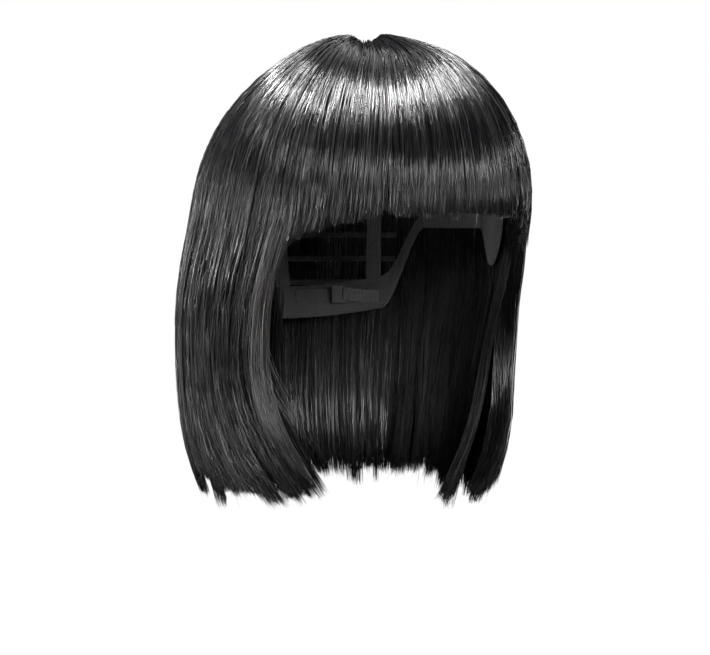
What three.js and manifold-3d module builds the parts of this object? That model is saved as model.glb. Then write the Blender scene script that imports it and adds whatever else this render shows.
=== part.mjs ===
// A short straight bob wig with a blunt fringe, in the shape it has when worn, without the head.
// Millimetres, +Z up. The wearer faces -Y, and the wearer's left is +X.
// The origin is the cap's seat: the point inside the cap that rests on the top of the head.
// Angles round the head are degrees: 0 at the forehead, 90 at the wearer's left ear, 180 at the
// nape, and on to 360 or down to -180 over the wearer's right ear.
import * as THREE from "three";
import { mergeVertices } from "three/addons/utils/BufferGeometryUtils.js";
import Module from "manifold-3d";

// ---- The head that the cap is cut for ----
const headHalfWidth = 78;
const headHalfLength = 96;
const headCrown = 88; // from the top of the head down to its widest level
const headTaper = 130; // the lower half's semi-axis: how slowly the head narrows to the neck
const widestZ = -headCrown;

// ---- Layers, from the head outwards ----
const bandThickness = 0.9;
const ribThickness = 0.6;
const weftThickness = 1.3;
const layerGap = 0.4; // air between two sewn layers
const seam = 0.4; // air between two pieces that are sewn edge to edge
const hairLift = 0.8; // air between the wefts and the hair that hangs from them
const ribIn = bandThickness + layerGap;
const weftIn = ribIn + ribThickness + layerGap;
const hairIn = weftIn + weftThickness + hairLift;

// ---- Cap ----
const patchRadius = 32; // the closed crown patch that the whorl is tied into
const ribWidth = 9;
const ribOverlap = 6; // how far a rib is sewn over the patch and over the edge bands
const frontEdgeZ = -62; // the cap's edge at the middle of the forehead
const templeDrop = 16; // how much lower that edge is at the temples
const templeAngle = 61;
const frontBandHeight = 12;
const earFrontAngle = 85;
const earBackAngle = 117;
const earEdgeZ = -96; // the cap's edge over the ear
const earElasticHeight = 8;
const earTabDip = 30; // how far the tab in front of the ear reaches below its two ends
const napeEdgeZ = -150;
const napeBandHeight = 18;
const napeRise = 6; // how much higher the nape edge is where it starts to turn up to the ear
const napeTurn = 45; // degrees from the middle of the nape to where that turn starts
const weftHeight = 3;
const fringeWefts = { angle: 57, heights: [-14, -26, -38, -50], steps: 16 };
const longWefts = { angle: 64, heights: [-20, -36, -52, -68, -84], steps: 30 };
const napeWefts = { angle: 130, heights: [-101, -115, -129], steps: 14 };

// ---- Size adjusters at the nape ----
const strapWidth = 8;
const strapThickness = 0.9;
const strapLength = 24; // from where the strap is sewn to the nape band to the hook's middle
const adjusterZ = -138;
const hookLength = 10;
const hookHeight = 10;
const hookPlate = 1.2;
const hookLip = 1.3; // how far the hook's lip stands out towards the pockets
const slotWidth = 1.6;
const slotMargin = 1.5;
const pocketCount = 3;
const pocketEndAngle = 175; // where the row of pockets ends, beside the middle of the nape
const pocketPitch = 11; // millimetres from one pocket to the next
const pocketTape = 0.7;
const pocketRaise = 0.7;
const hookStandOff = 1.2; // air between a pocket's top and the hook's lip
const strapToHook = 1; // from the strap's fold to the hook's end

// ---- Hair ----
const hairSide = 16; // from the head to the outside of the hair, at the widest level
const hairFront = 13;
const hairTop = 15;
const crownLean = 15; // the top of the dome sits this far in front of the middle
const whorlBehindTop = 9; // the whorl is this far behind the top of the dome
const whorlDip = 3;
const whorlReach = 13; // radius of the dip
const hairDrop = 166; // from the widest level down to the tips
const curtainThickness = 13;
const hairGap = 1.2; // air between two sections of hair
const fringeZ = -87;
const fringeCornerDrop = 21; // the fringe's corners are cut this much lower than its middle
const fringeAngle = 60;
const curtainFrontAngle = 62;
const curtainBackAngle = 124.6;
const backAngle = 125.4;
const tipSweep = 24; // degrees that the curtains' front edges reach forward at the tips
const tipSweepHeight = 74;
// The hanging sections leave the crown hair at upright planes, this far inside the head's
// front, back and sides.
const partFrontInset = 51;
const partBackInset = 42;
const partSideInset = 10;
const underTopZ = -101;
const underTipRise = 10; // the under hair is this much shorter
const underShare = 0.45; // share of the hair's thickness that is under hair
// Below the fringe's corners the curtains' under hair reaches further forward than the hair over
// it, by some degrees that build up over a height.
const underReach = { angle: 7, drop: 24, height: 20 };

// The hanging hair's outline: [share of the drop, width factor, length factor, shift to the back].
const skirtLevels = [
  [0, 1, 1, 0],
  [0.145, 1.037, 0.963, 7],
  [0.313, 1.053, 0.917, 15],
  [0.524, 1.043, 0.899, 18],
  [0.729, 1.016, 0.872, 18.5],
  [0.88, 0.957, 0.807, 18.5],
  [1, 0.883, 0.734, 17],
];

const { cos, sin, sqrt, hypot, atan2, abs, min, max, acos, asin, round, PI } = Math;
const { degToRad, radToDeg, lerp, smoothstep, clamp } = THREE.MathUtils;

// ---- Surfaces ----

// A point on the head at an angle round it and a polar angle from its top (radians), moved
// outwards along the head's own normal.
function headPoint(angle, polar, offset) {
  const turn = degToRad(angle);
  const depth = polar < PI / 2 ? headCrown : headTaper;
  const point = new THREE.Vector3(
    headHalfWidth * sin(polar) * sin(turn),
    -headHalfLength * sin(polar) * cos(turn),
    depth * cos(polar),
  );
  const normal = new THREE.Vector3(
    point.x / headHalfWidth ** 2,
    point.y / headHalfLength ** 2,
    point.z / depth ** 2,
  ).normalize();
  point.z += widestZ;
  return point.addScaledVector(normal, offset);
}

function headPolar(z) {
  const depth = z > widestZ ? headCrown : headTaper;
  return acos(clamp((z - widestZ) / depth, -1, 1));
}

function headAt(angle, z, offset) {
  return headPoint(angle, headPolar(z), offset);
}

// Degrees round the head that a distance along it takes, at a place on it.
function degreesFor(distance, angle, polar) {
  const turn = degToRad(angle);
  const speed = sin(polar) * hypot(headHalfWidth * cos(turn), headHalfLength * sin(turn));
  return radToDeg(distance / speed);
}

function skirtAt(z) {
  const drop = clamp((widestZ - z) / hairDrop, 0, 1);
  const above = skirtLevels.findLastIndex((level) => level[0] <= drop);
  const from = skirtLevels[min(above, skirtLevels.length - 2)];
  const to = skirtLevels[min(above + 1, skirtLevels.length - 1)];
  const share = (drop - from[0]) / (to[0] - from[0]);
  return from.slice(1).map((value, i) => lerp(value, to[i + 1], share));
}

// The outside of the hair: a dome above the widest level and the hanging skirt below it.
function hairOutside(angle, z) {
  const turn = degToRad(angle);
  const halfWidth = headHalfWidth + hairSide;
  const halfLength = headHalfLength + hairFront;
  if (z < widestZ) {
    const [width, length, shift] = skirtAt(z);
    return new THREE.Vector3(
      halfWidth * width * sin(turn),
      shift - halfLength * length * cos(turn),
      z,
    );
  }
  const height = clamp((z - widestZ) / (headCrown + hairTop), 0, 1);
  const reach = sqrt(1 - height ** 2);
  const lean = -crownLean * height + whorlBehindTop * smoothstep(height, 0.85, 1);
  const dip = whorlDip * (1 - smoothstep(reach * halfWidth, 0, whorlReach));
  return new THREE.Vector3(
    halfWidth * reach * sin(turn),
    lean - halfLength * reach * cos(turn),
    z - dip,
  );
}

// The inside of the hanging hair, which is pushed out to lie on the wefts where it has to.
function hairInside(angle, z) {
  const turn = degToRad(angle);
  const hanging = hairOutside(angle, z);
  hanging.x -= curtainThickness * sin(turn);
  hanging.y += curtainThickness * cos(turn);
  const shrink = sin(headPolar(z));
  const capHalfWidth = headHalfWidth * shrink + hairIn;
  const capHalfLength = headHalfLength * shrink + hairIn;
  const outsideCap = min(1, hypot(hanging.x / capHalfWidth, hanging.y / capHalfLength));
  hanging.x /= outsideCap;
  hanging.y /= outsideCap;
  return hanging;
}

function hairBetween(angle, z, share) {
  return hairInside(angle, z).lerp(hairOutside(angle, z), share);
}

// ---- Solids ----

// Moves every vertex of a closed geometry to the place that place() gives for it.
function reshape(geometry, place) {
  geometry.deleteAttribute("normal");
  geometry.deleteAttribute("uv");
  const position = geometry.getAttribute("position");
  const point = new THREE.Vector3();
  for (let i = 0; i < position.count; i++) {
    const to = place(point.fromBufferAttribute(position, i));
    position.setXYZ(i, to.x, to.y, to.z);
  }
  geometry.computeVertexNormals();
  return geometry;
}

// A closed slab from a box whose u, v and w (each 0 to 1) are sent to places in space:
// u runs towards the wearer's left round the front, v upwards and w outwards.
function slab(uSteps, vSteps, place) {
  const box = new THREE.BoxGeometry(1, 1, 1, uSteps, vSteps, 1);
  return reshape(box, (p) => place(p.x + 0.5, p.y + 0.5, p.z + 0.5));
}

// A closed cap from a lathed disc: reach runs from 0 at its middle to 1 at its rim, and w
// from 0 on its inside to 1 on its outside.
function cap(aroundSteps, reachSteps, place) {
  const profile = [];
  for (let i = 0; i <= reachSteps; i++) profile.push(new THREE.Vector2(i / reachSteps, 0));
  for (let i = reachSteps; i >= 0; i--) profile.push(new THREE.Vector2(i / reachSteps, 1));
  const disc = new THREE.LatheGeometry(profile, aroundSteps);
  return reshape(disc, (p) => place(radToDeg(atan2(p.x, p.z)), hypot(p.x, p.z), p.y));
}

// A strip that lies on the head between two angles and two edges, given as heights by angle.
function strip(fromAngle, toAngle, lowerZ, upperZ, offsetIn, thickness, steps) {
  return slab(steps, 1, (u, v, w) => {
    const angle = lerp(fromAngle, toAngle, u);
    const z = lerp(lowerZ(angle), upperZ(angle), v);
    return headAt(angle, z, offsetIn + w * thickness);
  });
}

const wasm = await Module();
wasm.setup();

// A closed geometry as a solid that can be cut, without the triangles that shrink to nothing.
function toSolid(geometry) {
  const bare = new THREE.BufferGeometry();
  bare.setAttribute("position", geometry.getAttribute("position"));
  bare.setIndex(geometry.index);
  const merged = mergeVertices(bare, 1e-4);
  const triangles = [];
  for (let i = 0; i < merged.index.count; i += 3) {
    const [a, b, c] = [0, 1, 2].map((k) => merged.index.getX(i + k));
    if (a !== b && b !== c && c !== a) triangles.push(a, b, c);
  }
  return new wasm.Manifold(
    new wasm.Mesh({
      numProp: 3,
      vertProperties: merged.getAttribute("position").array,
      triVerts: new Uint32Array(triangles),
    }),
  );
}

function toGeometry(solid) {
  const mesh = solid.getMesh();
  const geometry = new THREE.BufferGeometry();
  geometry.setAttribute("position", new THREE.BufferAttribute(mesh.vertProperties, 3));
  geometry.setIndex(new THREE.BufferAttribute(mesh.triVerts, 1));
  geometry.computeVertexNormals();
  return geometry;
}

// ---- Materials ----
const finish = (color, roughness) =>
  new THREE.MeshStandardMaterial({ color, roughness, metalness: 0 });
const hairBlack = finish("#17161a", 0.32);
const hairUnder = finish("#0f0e11", 0.5);
const capNet = finish("#1b1a1d", 0.85);
const elastic = finish("#242327", 0.8);
const bandTape = finish("#1f1e22", 0.75);
const weftTape = finish("#121114", 0.7);
const hookPlastic = finish("#0c0c0d", 0.35);

const wig = new THREE.Group();
function add(name, geometry, material) {
  const mesh = new THREE.Mesh(geometry, material);
  mesh.name = name;
  wig.add(mesh);
}

// ---- Crown patch ----
function crownPatch() {
  const rim = patchRadius / headCrown;
  return cap(30, 4, (angle, reach, w) => headPoint(angle, reach * rim, w * bandThickness));
}
add("crown_patch", crownPatch(), capNet);

// ---- Edge of the cap: the heights of its lower and upper edges by angle ----
const frontLower = (angle) => frontEdgeZ - templeDrop * (angle / templeAngle) ** 2;
const frontUpper = (angle) => frontLower(angle) + frontBandHeight;
const earLower = () => earEdgeZ;
const earUpper = () => earEdgeZ + earElasticHeight;

function tabShare(angle) {
  return clamp((abs(angle) - templeAngle) / (earFrontAngle - templeAngle), 0, 1);
}
function tabLower(angle) {
  const share = tabShare(angle);
  return lerp(frontLower(templeAngle), earLower(), share) - earTabDip * sin(PI * share);
}
function tabUpper(angle) {
  return lerp(frontUpper(templeAngle), earUpper(), tabShare(angle));
}

// The nape band turns up towards the ear: 0 over the nape and 1 at the ear.
function napeTurned(angle) {
  return smoothstep(abs(abs(angle) - 180), napeTurn, 180 - earBackAngle);
}
function napeLower(angle) {
  const low = napeEdgeZ + napeRise * min(1, abs(abs(angle) - 180) / napeTurn) ** 2;
  return lerp(low, earLower(), napeTurned(angle));
}
function napeUpper(angle) {
  return napeLower(angle) + lerp(napeBandHeight, earElasticHeight, napeTurned(angle));
}

function edgeStrip(from, to, lowerZ, upperZ, steps) {
  return strip(min(from, to), max(from, to), lowerZ, upperZ, 0, bandThickness, steps);
}
const seamAngle = degreesFor(seam, earFrontAngle, PI / 2);
const sides = [["left", 1], ["right", -1]];
add("front_band", edgeStrip(-templeAngle, templeAngle, frontLower, frontUpper, 20), bandTape);
for (const [side, sign] of sides) {
  const tabFrom = sign * (templeAngle + seamAngle);
  const elasticFrom = sign * (earFrontAngle + seamAngle);
  add(
    `ear_tab_${side}`,
    edgeStrip(tabFrom, sign * earFrontAngle, tabLower, tabUpper, 10),
    bandTape,
  );
  add(
    `ear_elastic_${side}`,
    edgeStrip(elasticFrom, sign * earBackAngle, earLower, earUpper, 6),
    elastic,
  );
}
const napeFrom = earBackAngle + seamAngle;
add("nape_band", edgeStrip(napeFrom, 360 - napeFrom, napeLower, napeUpper, 34), bandTape);

// ---- Ribs: elastic ribbons from the crown patch down to the edge ----
const ribs = {
  front: 0,
  front_left: 33,
  temple_left: 66,
  ear_left: 101,
  nape_left: 139,
  back: 180,
  nape_right: -139,
  ear_right: -101,
  temple_right: -66,
  front_right: -33,
};

function capEdge(angle) {
  const a = abs(angle);
  if (a <= templeAngle) return frontUpper(a);
  if (a <= earFrontAngle) return tabUpper(a);
  if (a <= earBackAngle) return earUpper();
  return napeUpper(a);
}

function rib(angle) {
  const topPolar = (patchRadius - ribOverlap) / headCrown;
  const bottomPolar = headPolar(capEdge(angle) - ribOverlap);
  return slab(1, 14, (u, v, w) => {
    const polar = lerp(bottomPolar, topPolar, v);
    const aside = degreesFor((u - 0.5) * ribWidth, angle, polar);
    return headPoint(angle + aside, polar, ribIn + w * ribThickness);
  });
}
for (const [name, angle] of Object.entries(ribs)) add(`rib_${name}`, rib(angle), elastic);

// ---- Weft tracks: the sewn rows that hold the hair ----
function weft(fromAngle, toAngle, z, steps) {
  const lower = () => z - weftHeight / 2;
  const upper = () => z + weftHeight / 2;
  return strip(fromAngle, toAngle, lower, upper, weftIn, weftThickness, steps);
}
fringeWefts.heights.forEach((z, i) => {
  const { angle, steps } = fringeWefts;
  add(`weft_fringe_${i + 1}`, weft(-angle, angle, z, steps), weftTape);
});
longWefts.heights.forEach((z, i) => {
  const { angle, steps } = longWefts;
  add(`weft_long_${i + 1}`, weft(angle, 360 - angle, z, steps), weftTape);
});
napeWefts.heights.forEach((z, i) => {
  const { angle, steps } = napeWefts;
  add(`weft_nape_${i + 1}`, weft(angle, 360 - angle, z, steps), weftTape);
});

// ---- Size adjusters: an elastic strap, its hook and a row of pockets on each side ----
const pocketIn = -layerGap - pocketTape;
const hookMiddle = pocketIn - pocketRaise - hookStandOff - hookLip - hookPlate / 2;
const adjusterPolar = headPolar(adjusterZ);
const alongNape = (distance) => degreesFor(distance, pocketEndAngle - 20, adjusterPolar);
const pocketAngle = pocketEndAngle - alongNape(pocketCount * pocketPitch);
const hookAngle = pocketAngle + alongNape(pocketPitch / 2);
const strapAngle = hookAngle - alongNape(strapLength);
const strapEndAngle = hookAngle - alongNape(hookLength / 2 + strapToHook);

// A strip on the inside of the nape band, on the left or mirrored to the right.
function adjusterStrip(sign, from, to, steps, inner, outer) {
  return slab(steps, 1, (u, v, w) => {
    const along = sign > 0 ? u : 1 - u;
    const angle = lerp(from, to, along);
    const z = adjusterZ + (v - 0.5) * strapWidth;
    return headAt(sign > 0 ? angle : 360 - angle, z, lerp(inner(along), outer(along), w));
  });
}

function strap(sign) {
  const middle = (along) =>
    lerp(-layerGap - strapThickness / 2, hookMiddle, smoothstep(along, 0.4, 1));
  return adjusterStrip(
    sign,
    strapAngle,
    strapEndAngle,
    8,
    (along) => middle(along) - strapThickness / 2,
    (along) => middle(along) + strapThickness / 2,
  );
}

function pockets(sign) {
  const raised = (along) => pocketRaise * sin(PI * pocketCount * along) ** 2;
  return adjusterStrip(
    sign,
    pocketAngle,
    pocketEndAngle,
    4 * pocketCount,
    (along) => pocketIn - raised(along),
    () => -layerGap,
  );
}

// The hook: a flat plate with a slot for the strap and a turned-over lip for the pockets.
// Its own frame: x towards the middle of the nape, y towards the pockets and z along its height.
function hookGeometry() {
  const half = hookPlate / 2;
  const end = hookLength / 2;
  const lip = new THREE.Shape();
  lip.moveTo(-end, -half);
  lip.lineTo(end - hookLip, -half);
  lip.absarc(end - hookLip, half, hookPlate, -PI / 2, PI / 2, false);
  lip.lineTo(end - 3 * hookLip, half + hookPlate);
  lip.lineTo(end - 3 * hookLip, half + hookPlate / 2);
  lip.lineTo(end - hookLip, half + hookPlate / 2);
  lip.lineTo(end - hookLip, half);
  lip.lineTo(-end, half);
  const settings = { depth: hookHeight, bevelEnabled: false, curveSegments: 6 };
  const plate = new THREE.ExtrudeGeometry(lip, settings);
  plate.translate(0, 0, -hookHeight / 2);
  const slot = new THREE.BoxGeometry(slotWidth, 4 * hookPlate, hookHeight - 2 * slotMargin);
  slot.translate(slotMargin + slotWidth / 2 - end, 0, 0);
  return toGeometry(toSolid(plate).subtract(toSolid(slot)));
}

function hook(sign) {
  const angle = sign > 0 ? hookAngle : 360 - hookAngle;
  const middle = headAt(angle, adjusterZ, hookMiddle);
  const ahead = headAt(angle + sign, adjusterZ, hookMiddle).sub(middle).normalize();
  // On the wearer's right the hook is turned over, so that its lip still faces the pockets.
  const up = new THREE.Vector3(0, 0, sign);
  const outward = new THREE.Vector3().crossVectors(up, ahead);
  const place = new THREE.Matrix4().makeBasis(ahead, outward, up).setPosition(middle);
  return hookGeometry().applyMatrix4(place);
}

for (const [side, sign] of sides) {
  add(`adjuster_strap_${side}`, strap(sign), elastic);
  add(`adjuster_hook_${side}`, hook(sign), hookPlastic);
  add(`adjuster_pockets_${side}`, pockets(sign), bandTape);
}

// ---- Hair ----

// The block inside which the hair is crown hair; outside it the sections hang free. It can
// reach further to the front and back, to keep the curtains clear of their neighbours.
function crownBlock(gap, reach = 0) {
  const top = hairTop + 20;
  const halfWidth = headHalfWidth - partSideInset + gap;
  const front = partFrontInset - headHalfLength - gap - reach;
  const back = headHalfLength - partBackInset + gap + reach;
  const block = new THREE.BoxGeometry(2 * halfWidth, back - front, top - widestZ);
  block.translate(0, (back + front) / 2, (top + widestZ) / 2);
  return toSolid(block);
}

// Hair levels: below the widest level the height above it in millimetres, and above it the
// length along the dome. Both sides of the hair share them, so sections meet without steps.
const domeHeight = headCrown + hairTop;
const tipZ = widestZ - hairDrop;
const crownLevel = domeHeight * 1.3; // well inside the block

function levelOf(z) {
  const height = z - widestZ;
  return height < 0 ? height : domeHeight * asin(height / domeHeight);
}

function hairPlace(angle, level, share) {
  if (level < 0) return hairBetween(angle, widestZ + level, share);
  const polar = PI / 2 - level / domeHeight;
  const inside = headPoint(angle, polar, hairIn);
  return inside.lerp(hairOutside(angle, widestZ + domeHeight * cos(polar)), share);
}

function evenly(from, to, count) {
  return Array.from({ length: count + 1 }, (_, i) => lerp(from, to, i / count));
}

// The whole dome of hair over the cap, cut back to the block.
function crownHair() {
  const level = (reach) => (domeHeight * PI * (1 - reach)) / 2;
  const dome = cap(40, 12, (angle, reach, w) => hairPlace(angle, level(reach), w));
  return toGeometry(toSolid(dome).intersect(crownBlock(-hairGap / 2)));
}

// Hanging hair between two edges, through a list of levels from its tips upwards. The edges
// are angles by level, and the shares say how much of the hair's thickness it takes.
function hanging(edges, levels, innerShare, outerShare, steps) {
  const rows = levels(0).length - 1;
  return slab(steps, rows, (u, v, w) => {
    const level = levels(u)[round(v * rows)];
    const [from, to] = edges(level);
    const share = w > 0.5 ? outerShare : innerShare(level);
    return hairPlace(lerp(from, to, u), level, share);
  });
}

function outsideBlock(geometry, reach = 0) {
  return toGeometry(toSolid(geometry).subtract(crownBlock(hairGap / 2, reach)));
}

function fringeHair() {
  const edges = () => [-fringeAngle, fringeAngle];
  const lowerZ = (u) => fringeZ - fringeCornerDrop * abs(2 * u - 1) ** 3;
  const levels = (u) => evenly(levelOf(lowerZ(u)), crownLevel, 12);
  return outsideBlock(hanging(edges, levels, () => 0, 1, 20));
}

// The curtains' front edges reach forward towards the chin as they near the tips.
function curtainFront(level) {
  const nearTips = 1 - smoothstep(level, -hairDrop, tipSweepHeight - hairDrop);
  return curtainFrontAngle - tipSweep * nearTips;
}
const leftEdges = (level) => [curtainFront(level), curtainBackAngle];
const rightEdges = (level) => [-curtainBackAngle, -curtainFront(level)];
const backEdges = () => [backAngle, 360 - backAngle];

// Outer hair runs the full height and thins out where the under hair starts beneath it.
const underTop = levelOf(underTopZ);
const thinLevel = underTop + hairGap;
const fullLevel = thinLevel + 8;
const outerLevels = [
  ...evenly(levelOf(tipZ), thinLevel, 10),
  ...evenly(fullLevel, crownLevel, 10),
];
const underLevels = evenly(levelOf(tipZ + underTipRise), underTop, 8);

function outerHair(edges, steps, reach) {
  const innerShare = (level) =>
    level > thinLevel ? 0 : underShare + hairGap / curtainThickness;
  return outsideBlock(hanging(edges, () => outerLevels, innerShare, 1, steps), reach);
}

function underHair(edges, steps) {
  return hanging(edges, () => underLevels, () => 0, underShare, steps);
}

function underFront(level) {
  const { angle, drop, height } = underReach;
  return curtainFront(level) - angle * smoothstep(-level, drop, drop + height);
}
const leftUnderEdges = (level) => [underFront(level), curtainBackAngle];
const rightUnderEdges = (level) => [-curtainBackAngle, -underFront(level)];

add("hair_crown", crownHair(), hairBlack);
add("hair_fringe", fringeHair(), hairBlack);
add("hair_side_left", outerHair(leftEdges, 12, headHalfLength), hairBlack);
add("hair_side_right", outerHair(rightEdges, 12, headHalfLength), hairBlack);
add("hair_back", outerHair(backEdges, 18, 0), hairBlack);
add("under_hair_left", underHair(leftUnderEdges, 10), hairUnder);
add("under_hair_right", underHair(rightUnderEdges, 10), hairUnder);
add("under_hair_back", underHair(backEdges, 14), hairUnder);

export default wig;
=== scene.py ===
"""A short black bob wig with a blunt fringe: its hair strand by strand, its sewn cap and a plain studio.

Metres, +Z up. The wearer faces -Y and the wearer's left is +X. Angles round the head are degrees: 0 at
the forehead, 90 at the wearer's left ear, 180 at the nape, and negative over the wearer's right ear.
Hair levels are heights over the widest level of the head below it, and lengths along the dome above it.
"""
import itertools
import math

import bmesh
import bpy
import numpy as np
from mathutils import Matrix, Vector


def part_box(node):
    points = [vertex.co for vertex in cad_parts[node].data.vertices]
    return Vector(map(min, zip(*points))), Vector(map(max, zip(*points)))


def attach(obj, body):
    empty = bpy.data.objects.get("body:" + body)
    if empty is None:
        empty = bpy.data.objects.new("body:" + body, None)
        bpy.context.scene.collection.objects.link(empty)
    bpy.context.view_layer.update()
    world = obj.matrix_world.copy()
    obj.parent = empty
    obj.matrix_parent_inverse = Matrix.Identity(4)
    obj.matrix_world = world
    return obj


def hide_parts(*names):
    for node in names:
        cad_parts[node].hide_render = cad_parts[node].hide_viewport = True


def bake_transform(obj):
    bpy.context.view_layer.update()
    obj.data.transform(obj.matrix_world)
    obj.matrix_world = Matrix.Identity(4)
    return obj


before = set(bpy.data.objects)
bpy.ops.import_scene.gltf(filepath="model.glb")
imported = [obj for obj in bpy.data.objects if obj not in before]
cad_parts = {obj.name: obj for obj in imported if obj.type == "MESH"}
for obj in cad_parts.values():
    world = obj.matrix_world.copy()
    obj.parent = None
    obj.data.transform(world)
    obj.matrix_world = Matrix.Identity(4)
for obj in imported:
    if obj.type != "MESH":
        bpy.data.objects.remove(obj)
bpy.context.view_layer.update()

# ---- The head and the hair's outline, as the part has them ----
HEAD_HALF_WIDTH = 0.078
HEAD_HALF_LENGTH = 0.096
HEAD_CROWN = 0.088  # height of the head over its widest level
HEAD_TAPER = 0.130  # the same below that level
WIDEST_Z = -HEAD_CROWN
HAIR_IN = 0.0044  # from the head to the underside of the hair
HAIR_SIDE = 0.016  # from the head to the outside of the hair, at the sides, in front and on top
HAIR_FRONT = 0.013
HAIR_TOP = 0.015
CROWN_LEAN = 0.015  # how far forward the dome leans at its top
WHORL_BEHIND_TOP = 0.009  # how far the whorl is set back from that
WHORL_FROM = 0.85  # share of the dome's height above which the hair is set back
WHORL_DIP = 0.003
WHORL_REACH = 0.013
CLEFT_ANGLE = -28
CLEFT_DEPTH = 0.0090
CLEFT_HALF_WIDTH = 0.0046
CLEFT_LENGTH = 0.036
CLEFT_FULL = 0.3  # share of the cleft's length that has its full depth
CURTAIN_THICKNESS = 0.013
CURTAIN_FRONT_ANGLE = 62
TIP_SWEEP = 24  # degrees that the curtains' front edges reach forward at their tips
TIP_SWEEP_HEIGHT = 0.085
TIP_SWEEP_EASE = 1.9
SIDE_BACK_ANGLE = 125
BACK_OVERLAP = 2.5  # degrees that the back lies over each side section
FRINGE_ANGLE = 61
FRINGE_CORNER_DROP = 0.021
UNDER_REACH = 7  # degrees that the curtains' under hair reaches further forward
UNDER_REACH_DROP = 0.024  # heights below the widest level between which it comes to that
UNDER_REACH_END = 0.044
FRONT_LOCK_BEHIND = 1.5  # degrees behind and ahead of the curtain's front edge
FRONT_LOCK_AHEAD = 5.0
BACK_LOCK_ANGLE = 119
BACK_LOCK_HALF = 3.5
FLYAWAY_AHEAD = 16
FLYAWAY_DROPS = (0.02, 0.13)  # heights below the widest level where loose hairs bend forward

HALF_WIDTH = HEAD_HALF_WIDTH + HAIR_SIDE
HALF_LENGTH = HEAD_HALF_LENGTH + HAIR_FRONT
DOME_HEIGHT = HEAD_CROWN + HAIR_TOP
TOP_LEVEL = DOME_HEIGHT * math.pi / 2
TIP_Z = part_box("hair_back")[0].z
FRINGE_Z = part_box("hair_fringe")[0].z + FRINGE_CORNER_DROP
UNDER_TIP_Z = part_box("under_hair_back")[0].z
UNDER_TOP_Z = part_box("under_hair_back")[1].z
HAIR_DROP = WIDEST_Z - TIP_Z

# The hanging hair's outline: share of the drop, width factor, length factor and shift to the back.
SKIRT = np.array(
    [
        [0, 1, 1, 0],
        [0.145, 1.037, 0.963, 0.007],
        [0.313, 1.053, 0.917, 0.015],
        [0.524, 1.043, 0.899, 0.018],
        [0.729, 1.016, 0.872, 0.0185],
        [0.88, 0.957, 0.807, 0.0185],
        [1, 0.883, 0.734, 0.017],
    ]
)
SKIRT_STEPS = 120
SKIRT_SMOOTHING = 21  # steps that the outline's corners are rounded over


def smooth_skirt():
    """The outline's three columns at even shares of the drop, with its corners rounded."""
    shares = np.linspace(0, 1, SKIRT_STEPS)
    kernel = np.ones(SKIRT_SMOOTHING) / SKIRT_SMOOTHING
    reach = SKIRT_SMOOTHING // 2
    columns = []
    for values in SKIRT.T[1:]:
        even = np.interp(shares, SKIRT[:, 0], values)
        padded = np.pad(even, reach, mode="reflect", reflect_type="odd")
        columns.append(np.convolve(padded, kernel, mode="valid"))
    return shares, columns


SKIRT_SHARES, SKIRT_COLUMNS = smooth_skirt()


def smoothstep(value, low, high):
    share = np.clip((value - low) / (high - low), 0, 1)
    return share * share * (3 - 2 * share)


def unit(vectors):
    return vectors / np.maximum(np.linalg.norm(vectors, axis=-1, keepdims=True), 1e-12)


def head_normal(points):
    """The direction straight out of the head, at points near it."""
    height = points[..., 2] - WIDEST_Z
    depth = np.where(height > 0, HEAD_CROWN, HEAD_TAPER)
    return unit(
        np.stack(
            [
                points[..., 0] / HEAD_HALF_WIDTH**2,
                points[..., 1] / HEAD_HALF_LENGTH**2,
                height / depth**2,
            ],
            -1,
        )
    )


def head_point(angle, polar, offset):
    """A point on the head at an angle round it and a polar angle from its top, moved outwards."""
    turn = np.radians(angle)
    depth = np.where(polar < math.pi / 2, HEAD_CROWN, HEAD_TAPER)
    point = np.stack(
        np.broadcast_arrays(
            HEAD_HALF_WIDTH * np.sin(polar) * np.sin(turn),
            -HEAD_HALF_LENGTH * np.sin(polar) * np.cos(turn),
            depth * np.cos(polar) + WIDEST_Z,
        ),
        -1,
    )
    return point + np.asarray(offset)[..., None] * head_normal(point)


def head_polar(z):
    depth = np.where(z > WIDEST_Z, HEAD_CROWN, HEAD_TAPER)
    return np.arccos(np.clip((z - WIDEST_Z) / depth, -1, 1))


def hair_outside(angle, z):
    """The outside of the hair: a dome above the widest level and the hanging skirt below it."""
    turn = np.radians(angle)
    drop = np.clip((WIDEST_Z - z) / HAIR_DROP, 0, 1)
    width, length, shift = (np.interp(drop, SKIRT_SHARES, column) for column in SKIRT_COLUMNS)
    height = np.clip((z - WIDEST_Z) / DOME_HEIGHT, 0, 1)
    reach = np.sqrt(1 - height**2)
    lean = -CROWN_LEAN * height + WHORL_BEHIND_TOP * smoothstep(height, WHORL_FROM, 1)
    dip = WHORL_DIP * (1 - smoothstep(reach * HALF_WIDTH, 0, WHORL_REACH))
    hangs = z < WIDEST_Z
    x = HALF_WIDTH * np.where(hangs, width, reach) * np.sin(turn)
    y = np.where(hangs, shift, lean) - HALF_LENGTH * np.where(hangs, length, reach) * np.cos(turn)
    dip = dip + cleft_depth(x, y)
    return np.stack(np.broadcast_arrays(x, y, z - np.where(hangs, 0, dip)), -1)


def cleft_depth(x, y):
    """A small cleft through the whorl, where the hair falls to either side."""
    turn = math.radians(CLEFT_ANGLE)
    back = y + CROWN_LEAN - WHORL_BEHIND_TOP
    ahead = x * math.sin(turn) - back * math.cos(turn)
    aside = x * math.cos(turn) + back * math.sin(turn)
    fades = 1 - smoothstep(np.abs(ahead), CLEFT_FULL * CLEFT_LENGTH, CLEFT_LENGTH)
    return CLEFT_DEPTH * np.exp(-((aside / CLEFT_HALF_WIDTH) ** 2)) * fades


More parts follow.
